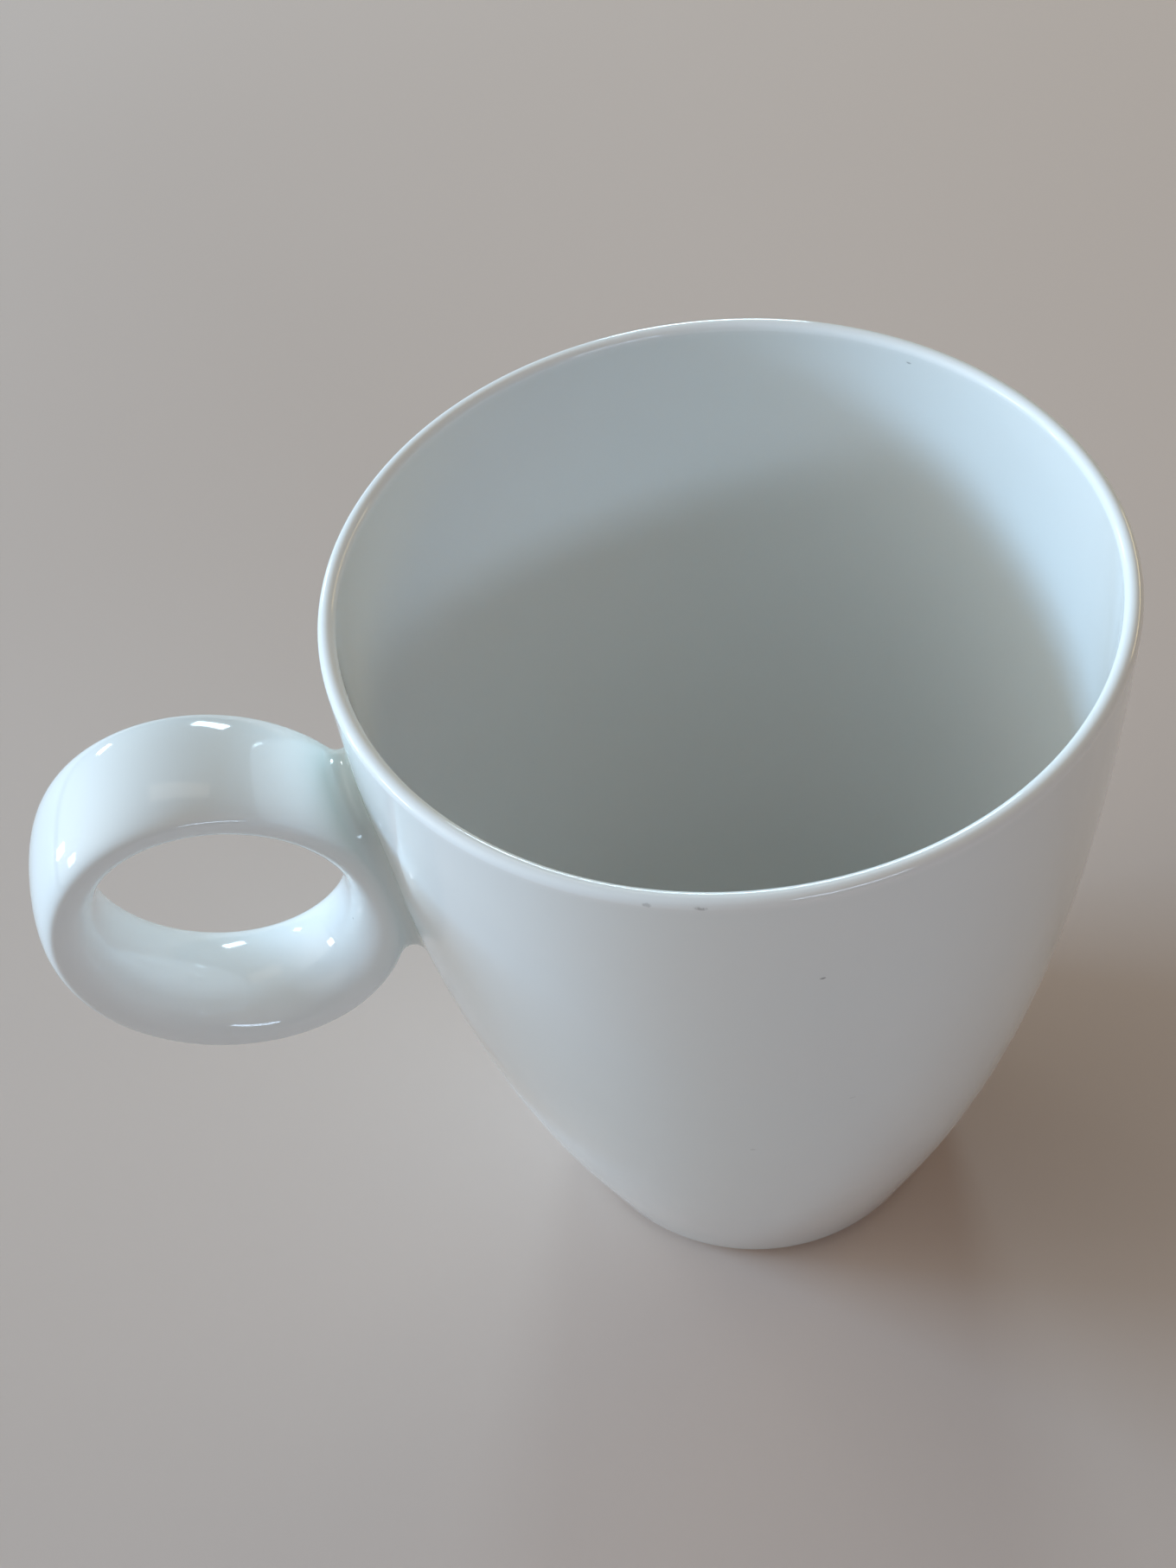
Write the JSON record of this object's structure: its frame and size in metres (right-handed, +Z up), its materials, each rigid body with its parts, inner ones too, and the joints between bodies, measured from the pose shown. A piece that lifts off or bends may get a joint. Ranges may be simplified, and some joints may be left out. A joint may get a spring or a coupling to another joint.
{
  "type": "ceramic mug",
  "caption": "Tapered glazed porcelain mug with a thin lip, narrow foot ring and an oval ring handle.",
  "frame": {"origin": "on the cup's axis, in the plane the foot ring stands on", "axes": "+Z up along the cup's axis, towards the rim; -X from the axis towards the ring handle; Y across the handle"},
  "size_m": [0.1183, 0.082, 0.1025],
  "materials": {
    "bisque": "unglazed fired porcelain, matte",
    "slip": "fired luting slip, matte",
    "glaze": "clear gloss glaze over white porcelain"
  },
  "bodies": {
    "root": {"cup_body": "bisque", "ring_handle": "bisque", "handle_slip_joint": "slip", "glaze_coat": "glaze", "base_glaze": "glaze"}
  },
  "joints": []
}
